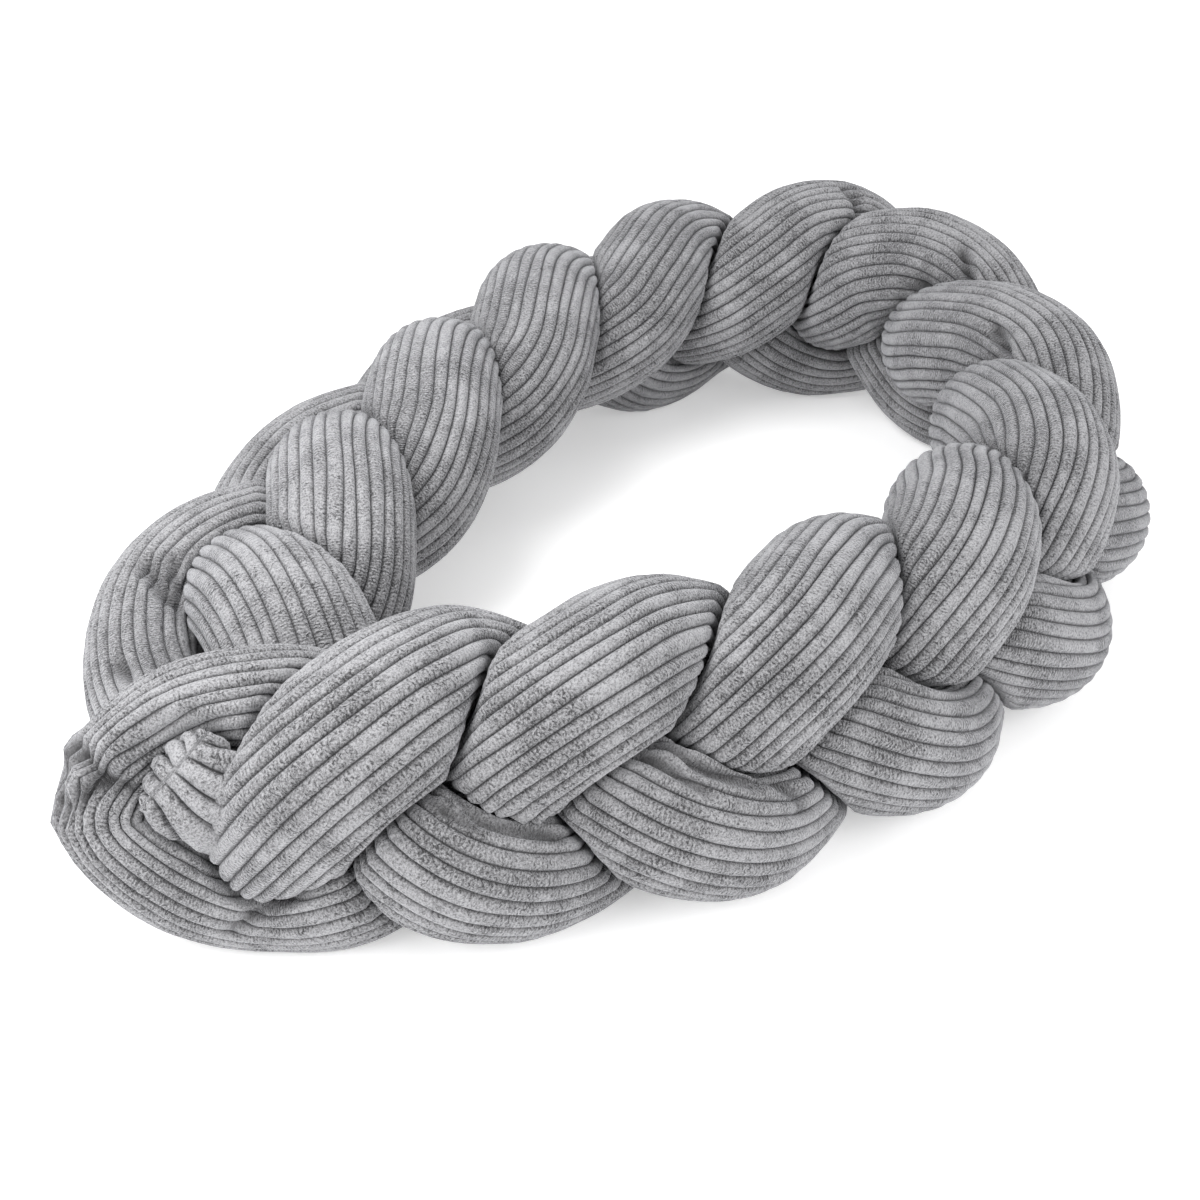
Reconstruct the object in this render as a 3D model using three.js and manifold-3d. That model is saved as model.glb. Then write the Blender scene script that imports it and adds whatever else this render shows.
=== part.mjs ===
// Braided crib bumper: two stuffed tubes of wide-ribbed plush, plaited as three strands and laid in an
// oval on the floor. The long tube is folded back on itself at the near end and makes two strands.
// The single tube makes the third strand, and its closed tail shows inside the fold.
// Millimetres, +Z up, the floor at z = 0, the origin under the middle of the oval.
import * as THREE from 'three';
import { mergeVertices } from 'three/addons/utils/BufferGeometryUtils.js';
import Module from 'manifold-3d';

// Driving dimensions
const TUBE_RADIUS = 48.5;
const PLAIT_PITCH = 420;
const LIFT = 19.5;
const SETTLE = 9;
const ROW_STEP = 143;

// Length along the plait up to which each strand keeps to the plait, under the folded near end
const STRAND_ENDS = [1665, 1745, 1836];

// Ribs of the plush. A raised rib here stands for nearly two of the cloth's ribs.
const RIBS = 18;
const RIB_DEPTH = 2.2;
const RIB_FADE = 3;

// Clearances and softness where tubes press on each other
const PRESS_GAP = 5.4;
const SHOULDER = 6;
const BEND_SLACK = 0.88;
const BEND_REACH = 95;
const BEND_SPAN = 20;
const PRESS_REACH = 170;
const THINNEST = 0.5;

// Rounded tube ends
const END_ROUNDING = 60;
const START_ROUNDING = 46;
const TAIL_ROUNDING = 24;
const END_POWER = 2.2;

// Mesh steps
const LINE_STEP = 7;
const RING_STEP = 30;
const END_RINGS = [3, 10, 22, 40];
const RING_POINTS = 2 * RIBS;
const KNOT_STEP = 35;
const SMALL = 0.001;
const FLOOR_SNAP = 0.05;

// Middle line of the plait on the floor plan, from the folded near end round to the far end, a row
// every ROW_STEP. roll leans the plait's inner edge up, turn shifts the strands along the plait and
// sway is how far a strand swings from edge to middle.
const PATH_ROWS = [
  { x: -397.5, y: 17.3, roll: 64, turn: -31, sway: 44 },
  { x: -296.6, y: -84.1, roll: 68, turn: -12, sway: 48 },
  { x: -184.0, y: -171.3, roll: 71, turn: 0, sway: 49 },
  { x: -49.0, y: -216.5, roll: 72, turn: 6, sway: 49 },
  { x: 93.3, y: -220.7, roll: 71, turn: 7, sway: 46 },
  { x: 226.8, y: -172.7, roll: 68, turn: 3, sway: 46 },
  { x: 328.5, y: -73.3, roll: 64, turn: 0, sway: 48 },
  { x: 373.1, y: 58.5, roll: 60, turn: 2, sway: 55 },
  { x: 288.8, y: 169.6, roll: 54, turn: 8, sway: 51 },
  { x: 154.3, y: 213.5, roll: 49, turn: 9, sway: 52 },
  { x: 12.0, y: 203.4, roll: 43, turn: 1, sway: 53 },
  { x: -128.2, y: 175.8, roll: 35, turn: -5, sway: 56 },
  { x: -260.9, y: 124.1, roll: 20, turn: -8, sway: 54 },
  { x: -347.4, y: 14.1, roll: -7, turn: -3, sway: 44 },
];

// The four tables below are places in the plait: along its middle line, across it towards the
// inner edge, and out of its upper face, with the tube's radius there.

// Fold of the long tube round the near tip, from its upper strand to its lower one
const FOLD_ROWS = [
  { along: 92, across: 14, out: -15, radius: 46 },
  { along: 60, across: 32, out: -15, radius: 46 },
  { along: 30, across: 38, out: -2, radius: 44 },
  { along: 3, across: 35, out: 4, radius: 43 },
  { along: -20, across: 23, out: 6, radius: 40 },
  { along: -36, across: 4, out: 4, radius: 38 },
  { along: -22, across: -17, out: 1, radius: 40 },
  { along: 3, across: -37, out: -6, radius: 42 },
  { along: 34, across: -49, out: -12, radius: 42 },
];
const FOLD_UPPER_FROM = 126;
const FOLD_LOWER_FROM = 75;

// Blunt start of the single tube, where it dives into the plait
const START_ROWS = [
  { along: 27, across: -38, out: -24, radius: 44 },
  { along: 45, across: -15, out: 3, radius: 49 },
  { along: 67, across: 9, out: 20, radius: 52 },
  { along: 93, across: 29, out: 23, radius: 52 },
  { along: 121, across: 43, out: 9, radius: 50 },
];
const START_JOINS_AT = 150;

// Far end of the single tube, which runs straight down under the fold
const FAR_ROWS = [
  { along: 1700, across: 12, out: 8, radius: 50 },
  { along: 1735, across: 32, out: 18, radius: 52 },
  { along: 1770, across: 38, out: 14, radius: 52 },
  { along: 1800, across: 38, out: -1, radius: 50 },
  { along: 1824, across: 36, out: -16, radius: 48 },
];

// Tail of the single tube, from its seamed end inside the fold down to the blunt start
const TAIL_ROWS = [
  { along: -1, across: 24, out: 50, radius: 34 },
  { along: 3, across: 22, out: 36, radius: 37 },
  { along: 10, across: 17, out: 20, radius: 40 },
  { along: 22, across: 6, out: 6, radius: 42 },
  { along: 44, across: -10, out: 0, radius: 40 },
];
const TAIL_SEAM_HALF = 1.2;
const TAIL_SEAM_WIDTH = 0.9;
const TAIL_WIDENING = 0.25;
const TAIL_RINGS = [0, 3, 9, 18, 32, 50, 70];

// Look of the cloth
const PLUSH = { color: 0xa3a3a8, roughness: 0.95, metalness: 0 };

// Value of every column of an evenly spaced table at a place between its rows, on a smooth curve
function between(rows, place) {
  const last = rows.length - 1;
  const index = Math.min(Math.max(Math.floor(place), 0), last - 1);
  const t = place - index;
  const result = {};
  for (const column of Object.keys(rows[0])) {
    const b = rows[index][column];
    const c = rows[index + 1][column];
    const a = index > 0 ? rows[index - 1][column] : 2 * b - c;
    const d = index + 2 <= last ? rows[index + 2][column] : 2 * c - b;
    const linear = c - a;
    const square = 2 * a - 5 * b + 4 * c - d;
    const cubic = 3 * b - a - 3 * c + d;
    result[column] = 0.5 * (2 * b + linear * t + square * t * t + cubic * t * t * t);
  }
  return result;
}

// Lowest point of the strands' middle lines below the plait's own middle, at one roll
function dropBelow(sway, rollCos, rollSin) {
  const steps = 48;
  let drop = 0;
  for (let i = 0; i < steps; i += 1) {
    const angle = (2 * Math.PI * i) / steps;
    const height = sway * Math.sin(angle) * rollSin + LIFT * Math.sin(2 * angle) * rollCos;
    drop = Math.max(drop, -height);
  }
  return drop;
}

// Frame of the plait at a length along it: its middle, the direction across it towards the inner
// edge, the direction out of its upper face, and the plaiting angle
function plaitFrame(along) {
  const place = along / ROW_STEP;
  const row = between(PATH_ROWS, place);
  const ahead = between(PATH_ROWS, place + SMALL);
  const behind = between(PATH_ROWS, place - SMALL);
  const heading = new THREE.Vector2(ahead.x - behind.x, ahead.y - behind.y).normalize();
  const roll = THREE.MathUtils.degToRad(row.roll);
  const rollCos = Math.cos(roll);
  const rollSin = Math.sin(roll);
  const inward = new THREE.Vector3(-heading.y, heading.x, 0);
  const up = new THREE.Vector3(0, 0, 1);
  const height = dropBelow(row.sway, rollCos, rollSin) + TUBE_RADIUS - SETTLE;
  return {
    middle: new THREE.Vector3(row.x, row.y, height),
    across: inward.clone().multiplyScalar(rollCos).addScaledVector(up, rollSin),
    out: up.clone().multiplyScalar(rollCos).addScaledVector(inward, -rollSin),
    angle: (2 * Math.PI * along) / PLAIT_PITCH + THREE.MathUtils.degToRad(row.turn),
    sway: row.sway,
  };
}

// Place in the plait as a place in space
function placeInPlait(row) {
  const frame = plaitFrame(row.along);
  const point = frame.middle.clone();
  point.addScaledVector(frame.across, row.across).addScaledVector(frame.out, row.out);
  return { x: point.x, y: point.y, z: point.z, radius: row.radius };
}

// Point of strand 0, 1 or 2: it swings across the plait once and over and under twice each pitch
function strandPoint(strand, along) {
  const frame = plaitFrame(along);
  const angle = frame.angle + (2 * Math.PI * strand) / 3;
  const point = frame.middle.clone();
  point.addScaledVector(frame.across, frame.sway * Math.sin(angle));
  point.addScaledVector(frame.out, LIFT * Math.sin(2 * angle));
  return { x: point.x, y: point.y, z: point.z, radius: TUBE_RADIUS };
}

// Evenly spaced points of a strand from a length along the plait to the strand's end
function strandKnots(strand, from) {
  const to = STRAND_ENDS[strand];
  const count = Math.round((to - from) / KNOT_STEP);
  const knots = [];
  for (let i = 0; i <= count; i += 1) {
    knots.push(strandPoint(strand, from + ((to - from) * i) / count));
  }
  return knots;
}

// Smooth line through knots, as evenly spaced samples of middle point and radius
function smoothLine(knots) {
  const perKnot = 24;
  const fine = [];
  for (let i = 0; i <= (knots.length - 1) * perKnot; i += 1) {
    fine.push(between(knots, i / perKnot));
  }
  const lengths = [0];
  for (let i = 1; i < fine.length; i += 1) {
    const a = fine[i - 1];
    const b = fine[i];
    lengths.push(lengths[i - 1] + Math.hypot(b.x - a.x, b.y - a.y, b.z - a.z));
  }
  const total = lengths[lengths.length - 1];
  const count = Math.round(total / LINE_STEP);
  const samples = [];
  let k = 0;
  for (let i = 0; i <= count; i += 1) {
    const length = (total * i) / count;
    while (k < lengths.length - 2 && lengths[k + 1] < length) k += 1;
    const t = (length - lengths[k]) / (lengths[k + 1] - lengths[k]);
    const point = new THREE.Vector3(fine[k].x, fine[k].y, fine[k].z);
    point.lerp(new THREE.Vector3(fine[k + 1].x, fine[k + 1].y, fine[k + 1].z), t);
    samples.push({ point, radius: THREE.MathUtils.lerp(fine[k].radius, fine[k + 1].radius, t) });
  }
  return { samples, total, step: total / count };
}

// Frames carried along a line without twisting, so that ribs run straight along the tube
function carryFrames(line, firstSide) {
  const samples = line.samples;
  let side = firstSide.clone();
  for (let i = 0; i < samples.length; i += 1) {
    const before = samples[Math.max(i - 1, 0)].point;
    const after = samples[Math.min(i + 1, samples.length - 1)].point;
    const tangent = after.clone().sub(before).normalize();
    side = side.addScaledVector(tangent, -side.dot(tangent)).normalize();
    samples[i].side = side.clone();
    samples[i].top = tangent.clone().cross(side);
  }
}

// Line sample at a length, between the evenly spaced ones
function sampleAt(line, length) {
  const place = Math.min(Math.max(length / line.step, 0), line.samples.length - 1);
  const index = Math.min(Math.floor(place), line.samples.length - 2);
  const a = line.samples[index];
  const b = line.samples[index + 1];
  const t = place - index;
  return {
    index: Math.round(place),
    point: a.point.clone().lerp(b.point, t),
    side: a.side.clone().lerp(b.side, t).normalize(),
    top: a.top.clone().lerp(b.top, t).normalize(),
    radius: THREE.MathUtils.lerp(a.radius, b.radius, t),
  };
}

// How full the tube is near a rounded end, 0 at the end itself and 1 past the rounding
function fullness(fromEnd, rounding) {
  if (fromEnd >= rounding) return 1;
  const rest = 1 - Math.max(fromEnd, 0) / rounding;
  return (1 - rest ** END_POWER) ** (1 / END_POWER);
}

// Farthest that cloth may reach from a middle point in one direction before it meets the half-way
// surface to another tube or the inside of its own bend
function reachLimit(line, sample, direction, neighbours) {
  let limit = PRESS_REACH;
  const near = Math.round(BEND_REACH / line.step);
  const meet = (other, extra) => {
    const to = other.point.clone().sub(sample.point);
    const squared = to.lengthSq();
    if (squared > PRESS_REACH * PRESS_REACH) return;
    const along = direction.dot(to) + extra;
    if (along > SMALL) limit = Math.min(limit, (squared - extra * extra) / (2 * along));
  };
  line.samples.forEach((other, i) => {
    if (Math.abs(i - sample.index) > near) {
      meet(other, other.radius - sample.radius + PRESS_GAP);
    } else if (other.point.distanceTo(sample.point) > BEND_SPAN) {
      const to = other.point.clone().sub(sample.point);
      const along = direction.dot(to);
      if (along > SMALL) limit = Math.min(limit, (BEND_SLACK * to.lengthSq()) / (2 * along));
    }
  });
  for (const neighbour of neighbours) {
    for (const other of neighbour.samples) meet(other, other.radius - sample.radius + PRESS_GAP);
  }
  return Math.max(limit, THINNEST);
}

// Farthest that cloth may reach in one direction before it lies on the floor
function floorLimit(point, direction) {
  return direction.z < -SMALL ? point.z / -direction.z : Infinity;
}

// The smaller of two lengths, rounded off where they are nearly equal
function softSmaller(a, b, softness) {
  const h = Math.min(Math.max(0.5 + (0.5 * (b - a)) / softness, 0), 1);
  return b * (1 - h) + a * h - softness * h * (1 - h);
}

// Angle of a point of a ring. On a flat ring the points lie evenly across it, as ribs do.
function ringAngle(turn, flatness) {
  const side = Math.floor(2 * turn);
  const flat = Math.PI * side + Math.acos(1 - 2 * (2 * turn - side));
  return THREE.MathUtils.lerp(2 * Math.PI * turn, flat, flatness);
}

// One ring of the tube: its free shape is an ellipse, held back where the tube is pressed, and every
// second point lies in a groove between ribs
function ring(line, station, neighbours) {
  const sample = sampleAt(line, station.length);
  const flatness = Math.max(1 - station.thick / station.wide, 0);
  const points = [];
  for (let j = 0; j < RING_POINTS; j += 1) {
    const angle = ringAngle(j / RING_POINTS, flatness);
    const wide = Math.cos(angle) * sample.radius * station.wide;
    const thick = Math.sin(angle) * sample.radius * station.thick;
    const free = Math.hypot(wide, thick);
    const direction = sample.side.clone().multiplyScalar(wide).addScaledVector(sample.top, thick);
    direction.normalize();
    const press = reachLimit(line, sample, direction, neighbours);
    const limit = Math.min(press, floorLimit(sample.point, direction));
    const held = Math.min(softSmaller(press, free, Math.min(SHOULDER, free)), limit);
    const show = 1 - THREE.MathUtils.smoothstep(free - limit, -RIB_FADE, 0);
    const depth = j % 2 === 1 ? RIB_DEPTH * show * station.grooves : 0;
    const point = sample.point.clone().addScaledVector(direction, held - depth);
    if (point.z < FLOOR_SNAP) point.z = 0;
    points.push(point);
  }
  return points;
}

// Closed mesh over a row of rings. A rounded end closes in a point and a seamed end along a line.
function skin(rings, firstPole, lastPole) {
  const positions = [];
  const faces = [];
  for (const points of rings) {
    for (const point of points) positions.push(point.x, point.y, point.z);
  }
  const n = RING_POINTS;
  for (let i = 0; i + 1 < rings.length; i += 1) {
    for (let j = 0; j < n; j += 1) {
      const a = i * n + j;
      const b = i * n + ((j + 1) % n);
      faces.push(a, b, b + n, a, b + n, a + n);
    }
  }
  const closeEnd = (start, pole, outwardFirst) => {
    const add = (a, b, c) => (outwardFirst ? faces.push(a, c, b) : faces.push(a, b, c));
    if (pole) {
      const tip = positions.length / 3;
      positions.push(pole.x, pole.y, pole.z);
      for (let j = 0; j < n; j += 1) add(start + j, start + ((j + 1) % n), tip);
      return;
    }
    for (let j = 0; j < n / 2; j += 1) {
      const a = start + j;
      const b = start + j + 1;
      const c = start + n - j - 1;
      const d = start + ((n - j) % n);
      if (a !== d) add(a, b, d);
      if (b !== c) add(b, c, d);
    }
  };
  closeEnd(0, firstPole, true);
  closeEnd((rings.length - 1) * n, lastPole, false);
  const geometry = new THREE.BufferGeometry();
  geometry.setAttribute('position', new THREE.Float32BufferAttribute(positions, 3));
  geometry.setIndex(faces);
  return geometry;
}

// Stations of a tube with two rounded ends
function tubeStations(line, startRounding, endRounding) {
  const startRings = END_RINGS.filter((length) => length < startRounding);
  const endRings = END_RINGS.filter((length) => length < endRounding);
  const from = startRings[startRings.length - 1];
  const to = line.total - endRings[endRings.length - 1];
  const count = Math.round((to - from) / RING_STEP);
  const lengths = [...startRings];
  for (let i = 1; i < count; i += 1) lengths.push(from + ((to - from) * i) / count);
  for (const length of [...endRings].reverse()) lengths.push(line.total - length);
  return lengths.map((length) => {
    const full = fullness(length, startRounding) * fullness(line.total - length, endRounding);
    return { length, wide: full, thick: full, grooves: full };
  });
}

// Skin of a tube along a line, held back by its neighbours
function tubeGeometry(line, neighbours, startRounding, endRounding) {
  const stations = tubeStations(line, startRounding, endRounding);
  const rings = stations.map((station) => ring(line, station, neighbours));
  return skin(rings, line.samples[0].point, line.samples[line.samples.length - 1].point);
}

// The tail is as wide as its seam all the way and grows thicker from the seam
function tailGeometry(line, neighbours) {
  const rings = TAIL_RINGS.map((length) => {
    const thick = Math.max(fullness(length, TAIL_ROUNDING), TAIL_SEAM_HALF / line.samples[0].radius);
    const wide = TAIL_SEAM_WIDTH + TAIL_WIDENING * Math.min(length / TAIL_ROUNDING, 1);
    const grooves = length === 0 ? 0 : 1;
    return ring(line, { length: Math.min(length, line.total), wide, thick, grooves }, neighbours);
  });
  return skin(rings, null, null);
}

// Union of two closed meshes as one
function join(wasm, first, second) {
  const solids = [first, second].map((geometry) => {
    const merged = mergeVertices(geometry, SMALL);
    const vertProperties = new Float32Array(merged.attributes.position.array);
    const triVerts = new Uint32Array(merged.index.array);
    return new wasm.Manifold(new wasm.Mesh({ numProp: 3, vertProperties, triVerts }));
  });
  const mesh = solids[0].add(solids[1]).getMesh();
  const geometry = new THREE.BufferGeometry();
  geometry.setAttribute('position', new THREE.Float32BufferAttribute(mesh.vertProperties, 3));
  geometry.setIndex(Array.from(mesh.triVerts));
  return geometry;
}

// Named mesh in the plush
function plushMesh(name, geometry) {
  const mesh = new THREE.Mesh(geometry, new THREE.MeshStandardMaterial(PLUSH));
  mesh.name = name;
  geometry.computeVertexNormals();
  return mesh;
}

// Middle line of the long tube: its upper strand from the far end, the fold, and its lower strand
function longLine() {
  const upper = strandKnots(1, FOLD_UPPER_FROM).reverse();
  const lower = strandKnots(2, FOLD_LOWER_FROM);
  const line = smoothLine([...upper, ...FOLD_ROWS.map(placeInPlait), ...lower]);
  carryFrames(line, new THREE.Vector3(0, 0, 1));
  return line;
}

// Middle line of the single tube from its blunt start to the far end
function singleLine() {
  const start = START_ROWS.map(placeInPlait);
  const far = FAR_ROWS.map(placeInPlait);
  const line = smoothLine([...start, ...strandKnots(0, START_JOINS_AT), ...far]);
  carryFrames(line, new THREE.Vector3(0, 0, 1));
  return line;
}

// Middle line of the tail, with its seam lying askew across the plait
function tailLine() {
  const line = smoothLine(TAIL_ROWS.map(placeInPlait));
  const frame = plaitFrame(TAIL_ROWS[0].along);
  const onward = frame.across.clone().cross(frame.out);
  carryFrames(line, onward.add(frame.across));
  return line;
}

const wasm = await Module();
wasm.setup();

const long = longLine();
const single = singleLine();
const tail = tailLine();

const longGeometry = tubeGeometry(long, [single, tail], END_ROUNDING, END_ROUNDING);
const bodyGeometry = tubeGeometry(single, [long], START_ROUNDING, END_ROUNDING);
const singleGeometry = join(wasm, bodyGeometry, tailGeometry(tail, [long]));

const group = new THREE.Group();
group.name = 'braided_bumper';
group.add(plushMesh('long_tube', longGeometry));
group.add(plushMesh('single_tube', singleGeometry));

export default group;
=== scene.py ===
import math

import bpy
import numpy as np
from bpy.props import FloatProperty, FloatVectorProperty, IntProperty, PointerProperty
from mathutils import Matrix, Vector
from mathutils.bvhtree import BVHTree


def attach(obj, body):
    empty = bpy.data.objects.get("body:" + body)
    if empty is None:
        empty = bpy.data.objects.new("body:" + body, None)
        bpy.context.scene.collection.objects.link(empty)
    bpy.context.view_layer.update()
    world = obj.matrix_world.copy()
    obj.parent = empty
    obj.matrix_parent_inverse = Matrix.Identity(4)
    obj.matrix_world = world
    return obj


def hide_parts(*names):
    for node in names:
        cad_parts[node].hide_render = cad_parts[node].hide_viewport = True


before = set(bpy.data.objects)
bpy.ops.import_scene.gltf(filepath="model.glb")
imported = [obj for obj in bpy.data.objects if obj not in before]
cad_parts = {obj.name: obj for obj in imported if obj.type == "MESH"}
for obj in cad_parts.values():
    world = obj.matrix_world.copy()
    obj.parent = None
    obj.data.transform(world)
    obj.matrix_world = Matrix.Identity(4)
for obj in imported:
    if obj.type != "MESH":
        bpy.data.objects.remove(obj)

bl_info = {
    "name": "Braided crib bumper",
    "version": (1, 0, 0),
    "blender": (4, 5, 0),
    "location": "3D View > Sidebar > Bumper",
    "description": "Two stuffed tubes of wide-ribbed plush, plaited and laid in an oval, and their studio",
    "category": "Add Mesh",
}

MM = 0.001
TAU = 2 * math.pi

# Middle line of the plait on the floor plan in millimetres, from the folded near end round to the
# far end, a row every ROW_STEP: x, y, roll of the inner edge in degrees, turn of the strands in
# degrees, and how far a strand swings from edge to middle.
ROW_STEP = 143.0
PATH_ROWS = [
    (-397.5, 17.3, 64, -31, 44),
    (-296.6, -84.1, 68, -12, 48),
    (-184.0, -171.3, 71, 0, 49),
    (-49.0, -216.5, 72, 6, 49),
    (93.3, -220.7, 71, 7, 46),
    (226.8, -172.7, 68, 3, 46),
    (328.5, -73.3, 64, 0, 48),
    (373.1, 58.5, 60, 2, 55),
    (288.8, 169.6, 54, 8, 51),
    (154.3, 213.5, 49, 9, 52),
    (12.0, 203.4, 43, 1, 53),
    (-128.2, 175.8, 35, -5, 56),
    (-260.9, 124.1, 20, -8, 54),
    (-347.4, 14.1, -7, -3, 44),
]

# Length along the plait up to which each strand keeps to the plait, under the folded near end
STRAND_ENDS = (1665, 1745, 1836)

# Places in the plait in millimetres: along it, across it towards the inner edge, out of its upper
# face, and the tube's radius there
FOLD_ROWS = [
    (92, 14, -15, 46),
    (60, 32, -15, 46),
    (30, 38, -2, 44),
    (3, 35, 4, 43),
    (-20, 23, 6, 40),
    (-36, 4, 4, 38),
    (-22, -17, 1, 40),
    (3, -37, -6, 42),
    (34, -49, -12, 42),
]
FOLD_UPPER_FROM = 126
FOLD_LOWER_FROM = 75
START_ROWS = [
    (27, -38, -24, 44),
    (45, -15, 3, 49),
    (67, 9, 20, 52),
    (93, 29, 23, 52),
    (121, 43, 9, 50),
]
START_JOINS_AT = 150
FAR_ROWS = [
    (1700, 12, 8, 50),
    (1735, 32, 18, 52),
    (1770, 38, 14, 52),
    (1800, 38, -1, 50),
    (1824, 36, -16, 48),
]
TAIL_ROWS = [
    (-2, 28, 44, 32),
    (3, 23, 33, 37),
    (10, 17, 20, 40),
    (22, 6, 6, 42),
    (44, -10, 0, 40),
]

# How tubes press on each other, on the floor and in their own bends, in millimetres
SHOULDER = 6.0
BEND_SLACK = 0.88
BEND_REACH = 95.0
BEND_SPAN = 20.0
PRESS_REACH = 170.0
THINNEST = 0.5

# Rounded and sewn ends, in millimetres
FAR_ROUNDING = 60.0
START_ROUNDING = 46.0
TAIL_ROUNDING = 24.0
END_POWER = 2.2
SEAM_HALF = 1.2
SEAM_WIDTH = 0.9
TAIL_WIDENING = 0.25

# How far the tail's ribs lean round it, in turns for each millimetre along it
TAIL_LEAN = -0.002

# The photo's width in pixels, and how far the ribs stand out of the rings where a pixel is looked up
PHOTO_WIDTH = 1200
PIXEL_LIFT = 2.0

# Where the photo's camera stands in metres, its heading and dip in degrees, its lens and sensor in
# millimetres
CAMERA_PLACE = (-0.8918, -0.6522, 0.7535)
CAMERA_HEADING = 52.0
CAMERA_DIP = 33.906
CAMERA_LENS = 57.078
CAMERA_SENSOR = 36.0

# Creases at least this deep, in millimetres, get full painted shade over this share of their width
DARK_DEPTH = 5.0
DARK_WIDTH = 0.85

# Creases of the cloth: how wide each is and how deep (less than 0 stands out), in millimetres, and the
# places that it runs through. A place of two numbers is a pixel read off the photo, to the right and
# down, and a place of three was chosen in space, in millimetres.
LONG_CREASES = [
    (5, 9, (-436, 60, 124), (87.5, 760), (98.7, 783)),
    (5, 9, (-456, 57, 97), (-455, 40, 109), (98.7, 784)),
    (7, 17, (-447, 29, 121), (-445, 27, 121)),
    (4, 6, (98.7, 783), (130, 789)),
    (8, -8, (-436, 66, 121), (-436, 62, 123)),
    (8, -7, (-457, 62, 94), (-458, 56, 97)),
    (12, 5, (-452, 63, 104), (-444, 63, 116)),
    (6, -4, (-450, 46, 116), (-450, 40, 117)),
    (5, 10, (143, 562), (156, 578), (164, 592), (178, 602)),
    (4, 7, (172.5, 558), (173.6, 580), (180, 589)),
    (5, 7, (-342, 148, 86), (-341, 133, 80)),
    (5, 10, (241, -119, 163), (997.6, 334), (1003.6, 348)),
    (5, 9, (360, 76, 182), (860.8, 204.8), (347, 52, 170)),
    (3.5, 7, (452, 795), (469, 808), (486, 820), (525, 829), (559, 834)),
    (3.5, 5, (-340, -108, 108), (452, 814), (481, 827)),
    (6, -5, (-330, -117, 110), (-318, -129, 103), (-300, -145, 89)),
    (4, 6, (232, 932), (245, 925), (262, 912), (290, 900)),
]
SINGLE_CREASES = [
    (5, 10, (330, -45, 173), (966.4, 262), (315, -59, 157)),
    (9, 6, (310, -27, 148), (302, -27, 146)),
    (3.5, 7, (647, 742), (675, 750), (696, 766), (725, 776), (756, 785)),
    (3.5, 5, (639, 755), (665, 763), (686, 779), (709, 792)),
    (4, 7, (779, 783), (800, 793), (803, 808)),
    (6, -5, (-243, -185, 122), (-226, -198, 110), (-207, -218, 96)),
]

# Steps of the mesh
LINE_STEP = 7.0
KNOT_STEP = 35.0
END_RINGS = (1.5, 4, 8, 13, 19, 26)
RIB_PLACES = (0, 0.08, 0.24, 0.5, 0.76, 0.92)


class BumperSizes(bpy.types.PropertyGroup):
    """Sizes of the plaited tubes and of their ribs."""

    tube_diameter: FloatProperty(
        name="Tube Diameter", description="Thickness of a tube where nothing presses on it",
        default=0.097, min=0.02, unit="LENGTH")
    plait_pitch: FloatProperty(
        name="Plait Pitch", description="Length along the plait in which a strand comes back to its side",
        default=0.42, min=0.1, unit="LENGTH")
    lift: FloatProperty(
        name="Lift", description="How far a strand rises and falls as it crosses the others",
        default=0.0195, unit="LENGTH")
    settle: FloatProperty(
        name="Settle", description="How far the lowest tubes are flattened by the floor",
        default=0.009, unit="LENGTH")
    clearance: FloatProperty(
        name="Clearance", description="Room left between tubes that press on each other",
        default=0.0016, min=0.0, unit="LENGTH")
    ribs: IntProperty(
        name="Ribs", description="Ribs around a tube", default=32, min=6)
    tail_ribs: IntProperty(
        name="Tail Ribs", description="Ribs around the sewn tail", default=12, min=6)
    rib_crown: FloatProperty(
        name="Rib Crown", description="How far the middle of a rib stands above its edges",
        default=0.0014, unit="LENGTH")
    rib_depth: FloatProperty(
        name="Rib Depth", description="Depth of the narrow grooves between the ribs",
        default=0.0020, unit="LENGTH")
    tail_fullness: FloatProperty(
        name="Tail Fullness", description="How much more the ribs of the gathered tail stand out",
        default=1.9, min=0.0)
    groove_sharpness: FloatProperty(
        name="Groove Sharpness", description="How narrow the grooves are: higher is narrower",
        default=6.0, min=1.0)
    rib_wander: FloatProperty(
        name="Rib Wander", description="How far ribs stray from their course, as a share of their width",
        default=0.16, min=0.0, max=0.4)
    wander_length: FloatProperty(
        name="Wander Length", description="Length of one stray of a rib",
        default=0.11, unit="LENGTH")
    unevenness: FloatProperty(
        name="Unevenness", description="How far the filling pushes the cloth in and out",
        default=0.0011, unit="LENGTH")
    unevenness_size: FloatProperty(
        name="Unevenness Size", description="Size of one bump of the filling",
        default=0.035, unit="LENGTH")
    ring_step: FloatProperty(
        name="Ring Step", description="Distance between the rings of the mesh",
        default=0.004, min=0.002, unit="LENGTH")


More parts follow.
